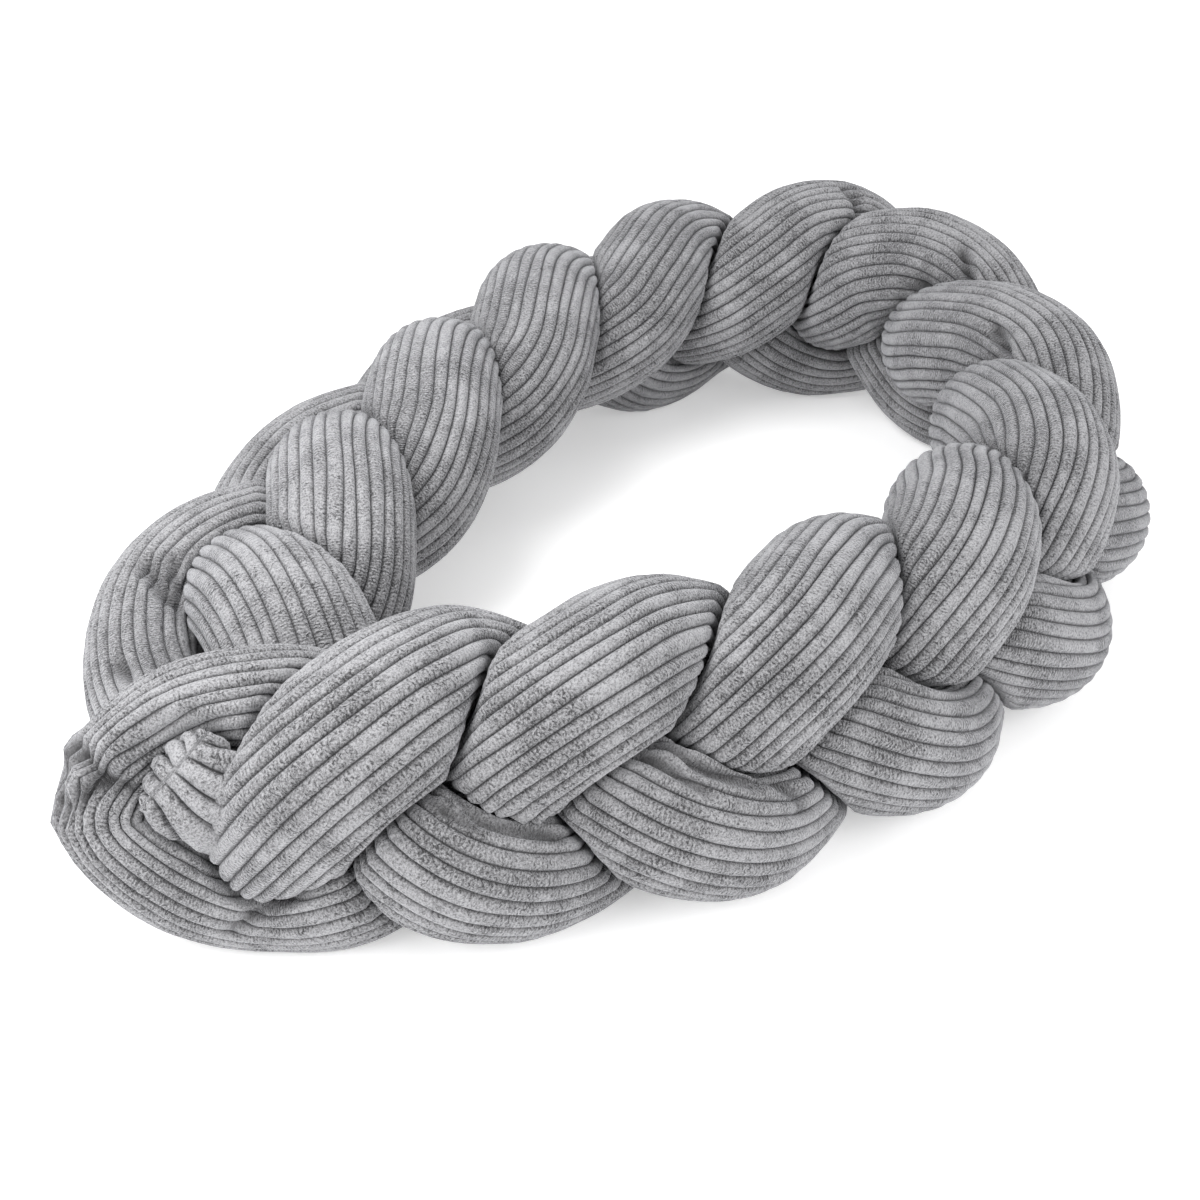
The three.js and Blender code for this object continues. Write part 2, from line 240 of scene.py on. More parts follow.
class PlushLook(bpy.types.PropertyGroup):
    """Colours and pile of the cloth."""

    light: FloatVectorProperty(
        name="Light Pile", description="Pile that lies smooth and catches the light",
        subtype="COLOR", size=3, min=0, max=1, default=(0.35, 0.349, 0.360))
    # Dark end of the pile's tone: the fine fibre speckle reaches down to it, and the painted shade between
    # the tufts and on the rib sides darkens towards it
    dark: FloatVectorProperty(
        name="Dark Pile", description="Pile that stands open",
        subtype="COLOR", size=3, min=0, max=1, default=(0.062, 0.061, 0.063))
    # Groove colour: the ground cloth between the ribs, darkened with painted shade; the deeper creases are
    # painted towards it too
    groove: FloatVectorProperty(
        name="Groove", description="Ground cloth between the ribs",
        subtype="COLOR", size=3, min=0, max=1, default=(0.050, 0.049, 0.050))
    tuft: FloatProperty(
        name="Tuft Size", description="Distance between tufts along a rib",
        default=0.0012, unit="LENGTH")
    row: FloatProperty(
        name="Row Step", description="Distance between the rows of pile that run across a rib",
        default=0.0016, unit="LENGTH")
    tuft_height: FloatProperty(
        name="Tuft Height", description="How far the tufts stand above the gaps between them",
        default=0.0011, unit="LENGTH")
    patch: FloatProperty(
        name="Brushed Patch Size", description="Size of the patches where the pile lies one way",
        default=0.04, unit="LENGTH")
    sheen: FloatProperty(
        name="Sheen", description="Light that the tips of the pile catch at a low angle",
        default=0.45, min=0, max=1)


class StudioLook(bpy.types.PropertyGroup):
    """Floor and light."""

    floor: FloatVectorProperty(
        name="Floor", description="Colour of the floor",
        subtype="COLOR", size=3, min=0, max=1, default=(0.95, 0.95, 0.95))
    front: FloatProperty(
        name="Front Light", description="Soft light from in front of the long side",
        default=8.5, unit="POWER")
    near: FloatProperty(
        name="Near Light", description="Small soft light by the folded end", default=2.6, unit="POWER")
    above: FloatProperty(
        name="Light Above", description="Small soft light above the left side of the oval",
        default=6.0, unit="POWER")
    air: FloatProperty(
        name="Surround", description="Light from all around", default=0.88)
    table: FloatProperty(
        name="Light Table", description="Light that the floor gives of itself", default=0.35)


def between(rows, places):
    """Rows of an evenly spaced table at places between them, on a smooth curve."""
    rows = np.asarray(rows, float)
    places = np.asarray(places, float)
    longer = np.vstack([2 * rows[0] - rows[1], rows, 2 * rows[-1] - rows[-2]])
    index = np.clip(np.floor(places).astype(int), 0, len(rows) - 2)
    t = (places - index)[..., None]
    a, b, c, d = (longer[index + k] for k in range(4))
    square = 2 * a - 5 * b + 4 * c - d
    cubic = 3 * b - a - 3 * c + d
    return 0.5 * (2 * b + (c - a) * t + square * t**2 + cubic * t**3)


def unit(vectors):
    return vectors / np.linalg.norm(vectors, axis=-1, keepdims=True)


def soft_smaller(a, b, softness):
    """The smaller of two lengths, rounded off where they are nearly equal."""
    h = np.clip(0.5 + 0.5 * (b - a) / softness, 0, 1)
    return b * (1 - h) + a * h - softness * h * (1 - h)


class Plait:
    """Places in the plait, in millimetres."""

    def __init__(self, sizes):
        self.radius = sizes.tube_diameter / MM / 2
        self.pitch = sizes.plait_pitch / MM
        self.lift = sizes.lift / MM
        self.settle = sizes.settle / MM

    def frame(self, along):
        """Middle of the plait, the ways across it and out of it, the plaiting angle and the sway."""
        place = np.asarray(along, float) / ROW_STEP
        x, y, roll, turn, sway = np.moveaxis(between(PATH_ROWS, place), -1, 0)
        ahead = between(PATH_ROWS, place + 0.001)[..., :2] - between(PATH_ROWS, place - 0.001)[..., :2]
        heading = unit(ahead)
        roll = np.radians(roll)
        cos, sin = np.cos(roll), np.sin(roll)
        turns = np.linspace(0, TAU, 48, endpoint=False)
        tilt = sway[..., None] * np.sin(turns) * sin[..., None]
        rise = self.lift * np.sin(2 * turns) * cos[..., None]
        height = np.max(-(tilt + rise), axis=-1) + self.radius - self.settle
        inward = np.stack([-heading[..., 1], heading[..., 0], 0 * x], -1)
        up = np.array([0.0, 0.0, 1.0])
        across = inward * cos[..., None] + up * sin[..., None]
        out = up * cos[..., None] - inward * sin[..., None]
        angle = TAU * np.asarray(along, float) / self.pitch + np.radians(turn)
        return np.stack([x, y, height], -1), across, out, angle, sway

    def place(self, rows):
        """Rows of along, across, out and radius as rows of x, y, z and radius."""
        rows = np.asarray(rows, float)
        middle, across, out, _, _ = self.frame(rows[:, 0])
        points = middle + across * rows[:, 1:2] + out * rows[:, 2:3]
        return np.column_stack([points, rows[:, 3]])

    def strand(self, strand, start):
        """Strand 0, 1 or 2 from a length along the plait to the strand's end."""
        count = round((STRAND_ENDS[strand] - start) / KNOT_STEP)
        along = np.linspace(start, STRAND_ENDS[strand], count + 1)
        middle, across, out, angle, sway = self.frame(along)
        angle = angle + TAU * strand / 3
        points = middle + across * (sway * np.sin(angle))[:, None]
        points += out * (self.lift * np.sin(2 * angle))[:, None]
        return np.column_stack([points, np.full(len(along), self.radius)])


class Line:
    """Middle line of a tube as evenly spaced points, with frames that don't twist."""

    def __init__(self, knots, first_side):
        fine = between(knots, np.linspace(0, len(knots) - 1, (len(knots) - 1) * 24 + 1))
        steps = np.linalg.norm(np.diff(fine[:, :3], axis=0), axis=1)
        lengths = np.concatenate([[0], np.cumsum(steps)])
        self.total = lengths[-1]
        self.at = np.linspace(0, self.total, round(self.total / LINE_STEP) + 1)
        columns = [np.interp(self.at, lengths, fine[:, k]) for k in range(4)]
        self.points = np.stack(columns[:3], 1)
        self.radius = columns[3]
        self.step = self.at[1]
        tangents = unit(np.gradient(self.points, axis=0))
        side = np.asarray(first_side, float)
        self.side = np.empty_like(self.points)
        for i, tangent in enumerate(tangents):
            side = unit(side - tangent * (side @ tangent))
            self.side[i] = side
        self.top = np.cross(tangents, self.side)

    def sample(self, lengths):
        """Points, sides, tops and radii at lengths along the line."""
        def pick(values):
            return np.stack([np.interp(lengths, self.at, values[:, k]) for k in range(3)], 1)
        points = pick(self.points)
        return points, unit(pick(self.side)), unit(pick(self.top)), np.interp(lengths, self.at, self.radius)


def reach_limit(line, length, point, radius, directions, neighbours, gap):
    """How far cloth may reach from one middle point before it meets a tube or its own bend."""
    offset = np.abs(line.at - length)
    to_own = line.points - point
    near = (offset <= BEND_REACH) & (np.linalg.norm(to_own, axis=1) > BEND_SPAN)
    squared = (to_own[near] ** 2).sum(1)
    along = directions @ to_own[near].T
    limit = np.where(along > MM, BEND_SLACK * squared / (2 * np.maximum(along, MM)), PRESS_REACH).min(1)
    far = offset > BEND_REACH
    others = [(to_own[far], line.radius[far])]
    others += [(other.points - point, other.radius) for other in neighbours]
    to = np.concatenate([o[0] for o in others])
    extra = np.concatenate([o[1] for o in others]) - radius + gap
    squared = (to**2).sum(1)
    close = squared < PRESS_REACH**2
    if close.any():
        to, extra, squared = to[close], extra[close], squared[close]
        along = directions @ to.T + extra
        press = np.where(along > MM, (squared - extra**2) / (2 * np.maximum(along, MM)), PRESS_REACH)
        limit = np.minimum(limit, press.min(1))
    return np.maximum(limit, THINNEST)


def fullness(from_end, rounding):
    """How full a tube is near a rounded end: 0 at the end, 1 past the rounding."""
    rest = 1 - np.clip(from_end / rounding, 0, 1)
    return (1 - rest**END_POWER) ** (1 / END_POWER)


class Ribs:
    """Places around a tube where ribs, and the points between them, run."""

    def __init__(self, sizes, count, seed, lean=0.0):
        random = np.random.default_rng(seed)
        self.count = count
        self.places = (np.arange(count)[:, None] + np.array(RIB_PLACES)).ravel()
        self.lean = lean
        self.wander = sizes.rib_wander
        self.wave = sizes.wander_length / MM / TAU
        self.own = random.uniform(-1, 1, count + 1)
        self.phase = random.uniform(0, TAU, count + 1)
        self.own[-1] = self.own[0]
        self.phase[-1] = self.phase[0]

    def turns(self, length):
        """Place around the tube of every point of the ring at a length along it, in turns."""
        stray = self.own + np.sin(length / self.wave + self.phase)
        places = self.places + self.wander / 2 * np.interp(self.places, np.arange(self.count + 1), stray)
        turns = places / self.count
        return turns + self.lean * length * np.maximum(np.sin(TAU * turns), 0)


def pressed_ring(line, station, neighbours, gap, ribs):
    """One ring of a tube, held back where it is pressed. On a flat ring the ribs lie evenly across."""
    length, wide, thick = station
    point, side, top, radius = (value[0] for value in line.sample(np.array([length])))
    turns = ribs.turns(length)
    half = 2 * turns % 1
    flat = (np.floor(2 * turns) + np.arccos(1 - 2 * half) / math.pi) / 2
    angles = TAU * (turns + (flat - turns) * max(1 - thick / wide, 0))
    shape = np.cos(angles)[:, None] * side * wide + np.sin(angles)[:, None] * top * thick
    free = np.linalg.norm(shape, axis=1) * radius
    directions = unit(shape)
    press = reach_limit(line, length, point, radius, directions, neighbours, gap)
    down = directions[:, 2]
    floor = np.where(down < -MM, point[2] / np.maximum(-down, MM), np.inf)
    held = soft_smaller(press, free, np.minimum(SHOULDER, free))
    held = np.minimum(held, np.minimum(press, floor))
    return point + directions * held[:, None]


def camera_turn():
    """How the photo's camera is turned."""
    heading, dip = math.radians(CAMERA_HEADING), math.radians(CAMERA_DIP)
    forward = Vector((math.sin(heading) * math.cos(dip), math.cos(heading) * math.cos(dip), -math.sin(dip)))
    right = Vector((math.cos(heading), -math.sin(heading), 0))
    return Matrix((right, right.cross(forward), -forward)).transposed()


def ring_quads(count, n):
    """Ring and place in it of each face between rings, and the face's corners."""
    i, j = np.meshgrid(np.arange(count - 1), np.arange(n), indexing="ij")
    i, j = i.ravel(), j.ravel()
    after = (j + 1) % n
    return i, j, np.stack([i * n + j, i * n + after, (i + 1) * n + after, (i + 1) * n + j], 1)


def seen_place(cloth, pixel):
    """The place in millimetres that shows at a pixel of the photo."""
    scale = CAMERA_SENSOR / CAMERA_LENS / PHOTO_WIDTH
    across, down = pixel[0] - PHOTO_WIDTH / 2, pixel[1] - PHOTO_WIDTH / 2
    ray = (camera_turn() @ Vector((across * scale, -down * scale, -1))).normalized()
    place, normal, _, _ = cloth.ray_cast(Vector(CAMERA_PLACE) / MM, ray)
    if place is None:
        raise ValueError(f"No cloth shows at pixel {pixel}")
    away = normal if normal.dot(ray) < 0 else -normal
    return place + away * PIXEL_LIFT


def creased(rings, creases):
    """Rings with creases pressed in and folds lifted out, and the painted shade that darkens each point in
    the deeper creases.
    """
    quads = ring_quads(*rings.shape[:2])[2]
    cloth = BVHTree.FromPolygons(rings.reshape(-1, 3).tolist(), quads.tolist())
    out = unit(rings - rings.mean(1, keepdims=True))
    pressed = np.zeros(rings.shape[:2])
    lifted = np.zeros(rings.shape[:2])
    painted_shade = np.zeros(rings.shape[:2])
    for width, depth, *places in creases:
        line = np.array([place if len(place) == 3 else seen_place(cloth, place) for place in places], float)
        away = np.full(painted_shade.shape, np.inf)
        for start, end in zip(line[:-1], line[1:]):
            span = end - start
            share = np.clip((rings - start) @ span / (span @ span), 0, 1)
            nearest = start + share[..., None] * span
            away = np.minimum(away, np.linalg.norm(rings - nearest, axis=-1))
        move = depth * np.exp(-((away / width) ** 2))
        pressed = np.maximum(pressed, move)
        lifted = np.maximum(lifted, -move)
        # Painted shade: the middle of a deep crease is darkened in the colour
        dark = np.clip(depth / DARK_DEPTH, 0, 1) * np.exp(-((away / (width * DARK_WIDTH)) ** 2))
        painted_shade = np.maximum(painted_shade, dark)
    return rings + out * (lifted - pressed)[..., None], painted_shade.ravel()


def long_line(plait):
    """The long tube: its upper strand from the far end, the fold, and its lower strand."""
    upper = plait.strand(1, FOLD_UPPER_FROM)[::-1]
    lower = plait.strand(2, FOLD_LOWER_FROM)
    return Line(np.vstack([upper, plait.place(FOLD_ROWS), lower]), (0, 0, 1))


def single_line(plait):
    """The single tube from its blunt start to the far end."""
    knots = [plait.place(START_ROWS), plait.strand(0, START_JOINS_AT), plait.place(FAR_ROWS)]
    return Line(np.vstack(knots), (0, 0, 1))


def tail_line(plait):
    """The single tube's tail from its sewn end down to the blunt start."""
    _, across, out, _, _ = plait.frame([TAIL_ROWS[0][0]])
    return Line(plait.place(TAIL_ROWS), np.cross(across[0], out[0]) + across[0])


def tube_rings(line, neighbours, gap, step, ribs, start_rounding):
    """Rings of a tube with two rounded ends, and the length of each along the tube."""
    ends = np.array(END_RINGS)
    middle = np.linspace(ends[-1], line.total - ends[-1], round((line.total - 2 * ends[-1]) / step) + 1)
    lengths = np.concatenate([ends[:-1], middle, line.total - ends[-2::-1]])
    full = fullness(lengths, start_rounding) * fullness(line.total - lengths, FAR_ROUNDING)
    rings = [pressed_ring(line, (l, f, f), neighbours, gap, ribs) for l, f in zip(lengths, full)]
    return np.array(rings), lengths


def tail_rings(line, neighbours, gap, step, ribs):
    """Rings of the tail, flat at its seam and round further down."""
    inner = np.arange(1, round((line.total - 12) / step) + 1) * step
    lengths = np.concatenate([[0, 1, 2.2], inner[inner > 3]])
    thick = np.maximum(fullness(lengths, TAIL_ROUNDING), SEAM_HALF / line.radius[0])
    wide = SEAM_WIDTH + TAIL_WIDENING * np.minimum(lengths / TAIL_ROUNDING, 1)
    stations = zip(lengths, wide, thick)
    rings = [pressed_ring(line, station, neighbours, gap, ribs) for station in stations]
    return np.array(rings), lengths


def cloth_mesh(name, rings, lengths, ribs, poles, painted_shade):
    """Closed mesh over rings. UV is the rib around the tube and the length along it in metres."""
    count, n, _ = rings.shape
    vertices = rings.reshape(-1, 3) * MM
    i, j, quads = ring_quads(count, n)
    place = np.append(ribs.places, ribs.count)
    corners_u = np.stack([place[j], place[j + 1], place[j + 1], place[j]], 1)
    corners_v = np.stack([lengths[i], lengths[i], lengths[i + 1], lengths[i + 1]], 1) * MM
    faces = quads.tolist()
    uv = list(np.stack([corners_u, corners_v], -1).reshape(-1, 2))
    around = list(range(n))
    for start, pole, first in ((0, poles[0], True), ((count - 1) * n, poles[1], False)):
        v = lengths[0 if first else -1] * MM
        if pole is None:
            for k in range(n // 2):
                a, b, c, d = k, k + 1, n - k - 1, (n - k) % n
                corners = [a, b, c, d] if len({a, b, c, d}) == 4 else ([b, c, d] if a == d else [a, b, d])
                corners = corners[::-1] if first else corners
                faces.append([start + corner for corner in corners])
                uv += [(place[corner], v) for corner in corners]
            continue
        tip = len(vertices)
        vertices = np.vstack([vertices, pole * MM])
        for k in around:
            corners = [(k + 1) % n, k] if first else [k, (k + 1) % n]
            faces.append([start + corners[0], start + corners[1], tip])
            uv += [(place[corners[0]], v), (place[corners[1]], v), (place[k], v)]
    mesh = bpy.data.meshes.new(name)
    mesh.from_pydata(vertices, [], faces)
    layer = mesh.uv_layers.new(name="UVMap")
    layer.data.foreach_set("uv", np.asarray(uv, np.float32).ravel())
    phase = np.zeros(len(vertices), np.float32)
    phase[: count * n] = np.tile(ribs.places, count)
    mesh.attributes.new("rib", "FLOAT", "POINT").data.foreach_set("value", phase)
    grooved = np.ones(len(vertices), np.float32)
    grooved[count * n:] = 0
    if poles[0] is None:
        grooved[:n] = 0
    mesh.attributes.new("grooved", "FLOAT", "POINT").data.foreach_set("value", grooved)
    # Painted shade of the creases, kept on the points for the material
    painted_crease_shade = np.zeros(len(vertices), np.float32)
    painted_crease_shade[: count * n] = painted_shade
    mesh.attributes.new("painted_crease_shade", "FLOAT", "POINT").data.foreach_set("value", painted_crease_shade)
    mesh.update()
    return mesh


class Value:
    """A socket of a node tree that takes part in Python expressions."""

    def __init__(self, tree, socket):
        self.tree = tree
        self.socket = socket

    def math(self, operation, *values):
        return self.tree.add("ShaderNodeMath", {"operation": operation}, dict(enumerate(values)))

    def __add__(self, other):
        return self.math("ADD", self, other)

    def __sub__(self, other):
        return self.math("SUBTRACT", self, other)

    def __rsub__(self, other):
        return self.math("SUBTRACT", other, self)

    def __mul__(self, other):
        return self.math("MULTIPLY", self, other)

    def __truediv__(self, other):
        return self.math("DIVIDE", self, other)

    def __pow__(self, other):
        return self.math("POWER", self, other)

    def __abs__(self):
        return self.math("ABSOLUTE", self)

    def __rtruediv__(self, other):
        return self.math("DIVIDE", other, self)

    __radd__ = __add__
    __rmul__ = __mul__

    def larger(self, other):
        return self.math("MAXIMUM", self, other)

    def fraction(self):
        return self.math("FRACT", self)

    def wave(self):
        """A wave from 0 to 1 and back with every whole number."""
        return self.math("SINE", self * TAU) * 0.5 + 0.5

    def output(self, name):
        """Another output of the node that this value comes from."""
        return Value(self.tree, self.socket.node.outputs[name])

    def ramp(self, low, high):
        """0 at low, 1 at high, smooth between."""
        settings = {"interpolation_type": "SMOOTHSTEP"}
        values = {"Value": self, "From Min": low, "From Max": high}
        return self.tree.add("ShaderNodeMapRange", settings, values, "Result")


class Nodes:
    """A node tree that nodes are added to."""

    def __init__(self, tree):
        self.tree = tree

    def add(self, kind, settings=None, values=None, output=0):
        """Adds one node with its settings and inputs, and gives one of its outputs."""
        node = self.tree.nodes.new(kind)
        for name, setting in (settings or {}).items():
            setattr(node, name, setting)
        for key, value in (values or {}).items():
            if isinstance(value, Value):
                self.tree.links.new(value.socket, node.inputs[key])
            elif value is not None:
                node.inputs[key].default_value = value
        return node if output is None else Value(self, node.outputs[output])

    def mix(self, factor, first, second, blend="MIX"):
        """Mix of two colours."""
        settings = {"data_type": "RGBA", "blend_type": blend}
        return self.add("ShaderNodeMix", settings, {0: factor, 6: first, 7: second}, 2)


def rgba(colour):
    return (*colour, 1.0)


def rib_width(sizes):
    return math.pi * sizes.tube_diameter / sizes.ribs


def ribs_tree():
    """Geometry nodes that press the grooves between ribs into a smooth tube and let the filling show."""
    tree = bpy.data.node_groups.new("plush_ribs", "GeometryNodeTree")
    face = tree.interface
    face.new_socket("Geometry", in_out="INPUT", socket_type="NodeSocketGeometry")
    for name in ("Rib Crown", "Rib Depth", "Groove Sharpness", "Unevenness", "Unevenness Size", "Seed"):
        face.new_socket(name, in_out="INPUT", socket_type="NodeSocketFloat")
    face.new_socket("Material", in_out="INPUT", socket_type="NodeSocketMaterial")
    face.new_socket("Geometry", in_out="OUTPUT", socket_type="NodeSocketGeometry")
    nodes = Nodes(tree)
    inputs = tree.nodes.new("NodeGroupInput")
    given = {socket.name: Value(nodes, socket) for socket in inputs.outputs if socket.name}
    number = {"data_type": "FLOAT"}
    rib = nodes.add("GeometryNodeInputNamedAttribute", number, {"Name": "rib"}, "Attribute")
    grooved = nodes.add("GeometryNodeInputNamedAttribute", number, {"Name": "grooved"}, "Attribute")
    edge = abs(rib.fraction() * 2 - 1)
    groove = edge ** given["Groove Sharpness"] * given["Rib Depth"] + edge * edge * given["Rib Crown"]
    noise = nodes.add(
        "ShaderNodeTexNoise", {"noise_dimensions": "4D"},
        {"W": given["Seed"], "Scale": 1 / given["Unevenness Size"], "Detail": 2.0}, 0)
    push = (noise - 0.5) * given["Unevenness"] * 2 - groove * grooved
    normal = nodes.add("GeometryNodeInputNormal")
    offset = nodes.add("ShaderNodeVectorMath", {"operation": "SCALE"}, {0: normal, "Scale": push})
    moved = nodes.add("GeometryNodeSetPosition", None, {"Geometry": given["Geometry"], "Offset": offset})
    smooth = nodes.add("GeometryNodeSetShadeSmooth", None, {"Geometry": moved, "Shade Smooth": True})
    real = nodes.add("GeometryNodeRealizeInstances", None, {"Geometry": smooth})
    painted = nodes.add("GeometryNodeSetMaterial", None, {"Geometry": real, "Material": given["Material"]})
    output = tree.nodes.new("NodeGroupOutput")
    tree.links.new(painted.socket, output.inputs[0])
    return tree


def raise_ribs(piece, sizes, seed, material, fullness=1.0):
    """Runs the rib tree on a piece and keeps the result as a plain mesh."""
    tree = bpy.data.node_groups.get("plush_ribs") or ribs_tree()
    modifier = piece.modifiers.new("Ribs", "NODES")
    modifier.node_group = tree
    values = {
        "Rib Crown": sizes.rib_crown * fullness,
        "Rib Depth": sizes.rib_depth * fullness,
        "Groove Sharpness": sizes.groove_sharpness,
        "Unevenness": sizes.unevenness,
        "Unevenness Size": sizes.unevenness_size,
        "Seed": seed,
        "Material": material,
    }
    for item in tree.interface.items_tree:
        if item.in_out == "INPUT" and item.name in values:
            modifier[item.identifier] = values[item.name]
    evaluated = piece.evaluated_get(bpy.context.evaluated_depsgraph_get())
    mesh = bpy.data.meshes.new_from_object(evaluated)
    mesh.name = piece.name
    piece.modifiers.clear()
    piece.data = mesh


def plush(look, rib_width):
    """Light grey plush: tufts in rows across each rib, brushed patches, and painted shade in the grooves, on
    the rib sides, between the tufts and in the creases.
    """
    material = bpy.data.materials.get("ribbed_plush")
    if material:
        return material
    material = bpy.data.materials.new("ribbed_plush")
    material.use_nodes = True
    material.node_tree.nodes.clear()
    nodes = Nodes(material.node_tree)
    place = nodes.add("ShaderNodeTexCoord", output="Object")
    uv = nodes.add("ShaderNodeUVMap", {"uv_map": "UVMap"})
    rib = nodes.add("ShaderNodeSeparateXYZ", None, {0: uv})
    along = rib.output("Y")
    edge = abs(rib.fraction() * 2 - 1)

    patches = nodes.add("ShaderNodeTexNoise", None, {
        "Vector": place, "Scale": 1 / look.patch, "Detail": 4.0, "Roughness": 0.6})
    brushed = patches.ramp(0.38, 0.64)
    fibres = nodes.add("ShaderNodeTexNoise", None, {
        "Vector": place, "Scale": 1 / look.tuft, "Detail": 2.0, "Roughness": 0.8})
    bends = nodes.add("ShaderNodeTexNoise", None, {
        "Vector": place, "Scale": 0.25 / look.tuft, "Detail": 1.0})
    row = (along / look.row + bends * 1.6 + abs(rib.fraction() - 0.5) * 0.8).wave()
    gap_place = nodes.add("ShaderNodeCombineXYZ", None, {
        0: rib * (rib_width / (1.7 * look.tuft)) + bends * 1.5, 1: along / (0.65 * look.tuft) + bends * 2.5})
    strokes = nodes.add("ShaderNodeTexNoise", {"noise_dimensions": "2D"}, {
        "Vector": gap_place, "Scale": 1.0, "Detail": 1.0, "Roughness": 0.6})
    clusters = nodes.add("ShaderNodeTexNoise", None, {
        "Vector": place, "Scale": 3.2 / look.patch, "Detail": 2.0})
    # Painted shade between the tufts: dark specks, in clusters, where the pile stands open; the same gaps
    # also sink in the bump below
    open_gap = strokes.ramp(0.52, 0.70) * (clusters.ramp(0.40, 0.58) * 0.85 + 0.15)
    stand = 1 - brushed * 0.6
    bright = 0.66 + (brushed - 0.5) * 0.32 + (row - 0.5) * stand * 0.26 + (fibres - 0.5) * 2.8
    bright = bright - open_gap * stand * 0.75
    # Painted shade on the rib sides: the pile darkens towards the grooves
    pile = nodes.mix(bright - edge.ramp(0.55, 0.95) * 0.25, rgba(look.dark), rgba(look.light))
    # Painted shade in the creases, read from the mesh
    painted_crease_shade = nodes.add("ShaderNodeAttribute", {"attribute_name": "painted_crease_shade"}, output="Fac")
    # Painted shade: the grooves between the ribs and the deeper creases are mixed towards the groove colour
    groove_and_crease_shade = (edge.ramp(0.80, 1.0) * 0.80).larger(painted_crease_shade * 0.95)
    colour = nodes.mix(groove_and_crease_shade, pile, rgba(look.groove))
    height = (1 - open_gap) * stand * 1.2 + row * stand * 0.5 + fibres + patches * 1.5
    bump = nodes.add("ShaderNodeBump", None, {
        "Strength": 0.9, "Distance": look.tuft_height, "Height": height}, "Normal")
    surface = nodes.add("ShaderNodeBsdfPrincipled", None, {
        "Base Color": colour,
        "Roughness": 0.9,
        "Specular IOR Level": 0.2,
        "Sheen Weight": look.sheen,
        "Sheen Roughness": 0.4,
        "Sheen Tint": (0.94, 0.95, 1.0, 1.0),
        "Normal": bump,
    })
    nodes.add("ShaderNodeOutputMaterial", None, {"Surface": surface}, None)
    return material


def new_piece(name, mesh):
    piece = bpy.data.objects.new(name, mesh)
    bpy.context.scene.collection.objects.link(piece)
    return piece


def dress(piece, node):
    """Sets a finished piece in the frame in place of its plain solid."""
    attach(piece, "root")
    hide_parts(node)


class BUMPER_OT_long_tube(bpy.types.Operator):
    """Build the long tube, folded at the near end into two strands of the plait"""

    bl_idname = "bumper.long_tube"
    bl_label = "Long Tube"

    def execute(self, context):
        sizes = context.scene.bumper_sizes
        plait = Plait(sizes)
        gap = sizes.clearance / MM
        ribs = Ribs(sizes, sizes.ribs, 1)
        line = long_line(plait)
        neighbours = [single_line(plait), tail_line(plait)]
        rings, lengths = tube_rings(line, neighbours, gap, sizes.ring_step / MM, ribs, FAR_ROUNDING)
        rings, painted_shade = creased(rings, LONG_CREASES)
        mesh = cloth_mesh("long_tube_plush", rings, lengths, ribs, (line.points[0], line.points[-1]), painted_shade)
        piece = new_piece("long_tube_plush", mesh)
        raise_ribs(piece, sizes, 1.0, plush(context.scene.plush_look, rib_width(sizes)))
        dress(piece, "long_tube")
        return {"FINISHED"}


class BUMPER_OT_single_tube(bpy.types.Operator):
    """Build the single tube and its sewn tail, which shows inside the fold"""

    bl_idname = "bumper.single_tube"
    bl_label = "Single Tube"

    def execute(self, context):
        sizes = context.scene.bumper_sizes
        look = context.scene.plush_look
        plait = Plait(sizes)
        gap = sizes.clearance / MM
        step = sizes.ring_step / MM
        line = single_line(plait)
        around = [long_line(plait)]
        ribs = Ribs(sizes, sizes.ribs, 2)
        rings, lengths = tube_rings(line, around, gap, step, ribs, START_ROUNDING)
        rings, painted_shade = creased(rings, SINGLE_CREASES)
        mesh = cloth_mesh("single_tube_plush", rings, lengths, ribs, (line.points[0], line.points[-1]), painted_shade)
        piece = new_piece("single_tube_plush", mesh)
        raise_ribs(piece, sizes, 2.0, plush(look, rib_width(sizes)))
        tail = tail_line(plait)
        ribs = Ribs(sizes, sizes.tail_ribs, 3, TAIL_LEAN)
        rings, lengths = tail_rings(tail, around, gap, step * 0.6, ribs)
        uncreased = np.zeros(rings.shape[:2]).ravel()
        mesh = cloth_mesh("tail_plush", rings, lengths, ribs, (None, None), uncreased)
        end = new_piece("tail_plush", mesh)
        raise_ribs(end, sizes, 3.0, plush(look, rib_width(sizes)), sizes.tail_fullness)
        dress(piece, "single_tube")
        dress(end, "single_tube")
        return {"FINISHED"}


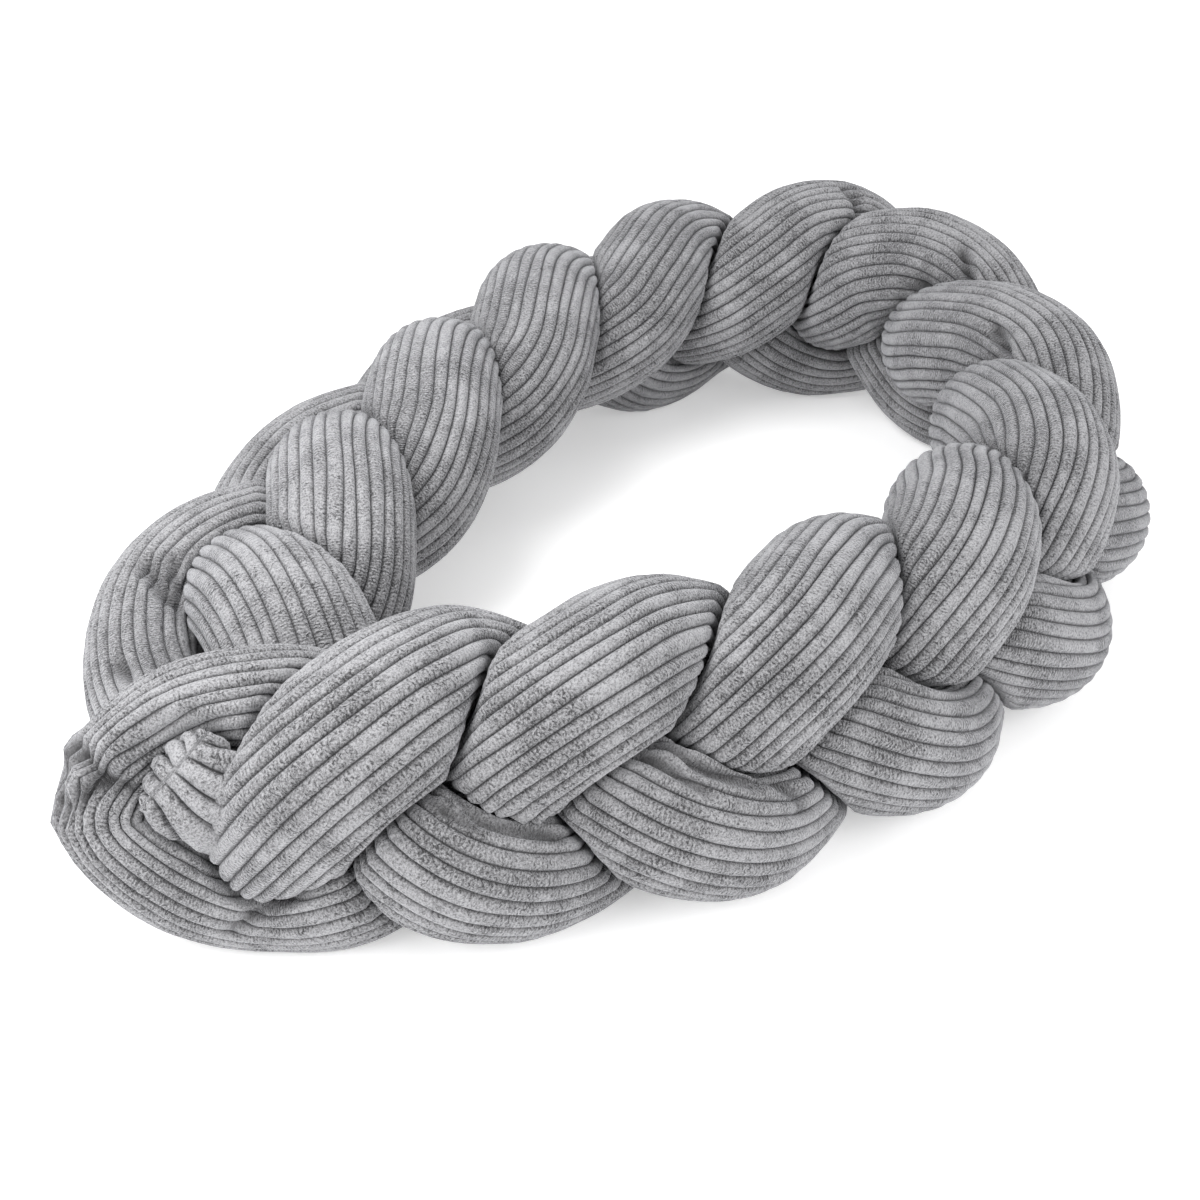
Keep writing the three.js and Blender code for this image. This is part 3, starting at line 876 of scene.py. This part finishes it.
class BUMPER_OT_studio(bpy.types.Operator):
    """Set up the camera, the lights and the floor"""

    bl_idname = "bumper.studio"
    bl_label = "Studio"

    def execute(self, context):
        scene = context.scene
        scene.view_settings.view_transform = "Standard"
        look = scene.studio_look
        turned = camera_turn().to_4x4()
        turned.translation = CAMERA_PLACE
        lens = bpy.data.cameras.new("photo_camera")
        lens.sensor_width = CAMERA_SENSOR
        lens.lens = CAMERA_LENS
        camera = bpy.data.objects.new("photo_camera", lens)
        scene.collection.objects.link(camera)
        camera.matrix_world = turned
        scene.camera = camera

        floor_mesh = bpy.data.meshes.new("studio_floor")
        reach = 6.0
        corners = [(-reach, -reach, 0), (reach, -reach, 0), (reach, reach, 0), (-reach, reach, 0)]
        floor_mesh.from_pydata([(x, y, -MM) for x, y, _ in corners], [], [(0, 1, 2, 3)])
        floor = new_piece("studio_floor", floor_mesh)
        material = bpy.data.materials.new("studio_floor")
        material.use_nodes = True
        surface = material.node_tree.nodes["Principled BSDF"]
        surface.inputs["Base Color"].default_value = rgba(look.floor)
        surface.inputs["Roughness"].default_value = 0.9
        surface.inputs["Emission Color"].default_value = rgba(look.floor)
        surface.inputs["Emission Strength"].default_value = look.table
        floor_mesh.materials.append(material)

        def lamp(name, energy, size, place, target):
            light = bpy.data.lights.new(name, "AREA")
            light.energy = energy
            light.size = size
            body = bpy.data.objects.new(name, light)
            scene.collection.objects.link(body)
            body.location = place
            body.rotation_euler = (Vector(target) - body.location).to_track_quat("-Z", "Y").to_euler()

        lamp("front", look.front, 0.9, (-0.1, -1.3, 0.7), (0, 0, 0.05))
        lamp("near", look.near, 0.4, (-0.95, 0, 0.45), (-0.3, 0, 0.05))
        lamp("above", look.above, 0.5, (-0.35, 0.22, 0.78), (-0.2, 0.1, 0.05))
        world = bpy.data.worlds.new("studio")
        world.use_nodes = True
        background = world.node_tree.nodes["Background"]
        background.inputs["Color"].default_value = (1, 1, 1, 1)
        background.inputs["Strength"].default_value = look.air
        scene.world = world
        return {"FINISHED"}


class BUMPER_PT_panel(bpy.types.Panel):
    """Sizes, looks and steps of the bumper."""

    bl_label = "Bumper"
    bl_space_type = "VIEW_3D"
    bl_region_type = "UI"
    bl_category = "Bumper"

    def draw(self, context):
        scene = context.scene
        for group in (scene.bumper_sizes, scene.plush_look, scene.studio_look):
            box = self.layout.box()
            for name in group.__annotations__:
                box.prop(group, name)
        for step in STEPS:
            self.layout.operator(step.bl_idname)


GROUPS = {"bumper_sizes": BumperSizes, "plush_look": PlushLook, "studio_look": StudioLook}
STEPS = (BUMPER_OT_long_tube, BUMPER_OT_single_tube, BUMPER_OT_studio)


def register():
    for group in GROUPS.values():
        bpy.utils.register_class(group)
    for name, group in GROUPS.items():
        setattr(bpy.types.Scene, name, PointerProperty(type=group))
    for step in (*STEPS, BUMPER_PT_panel):
        bpy.utils.register_class(step)


def unregister():
    for step in (BUMPER_PT_panel, *reversed(STEPS)):
        bpy.utils.unregister_class(step)
    for name, group in reversed(GROUPS.items()):
        delattr(bpy.types.Scene, name)
        bpy.utils.unregister_class(group)


def main():
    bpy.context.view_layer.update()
    register()
    bpy.ops.bumper.long_tube()
    bpy.ops.bumper.single_tube()
    bpy.ops.bumper.studio()


if __name__ == "__main__":
    main()
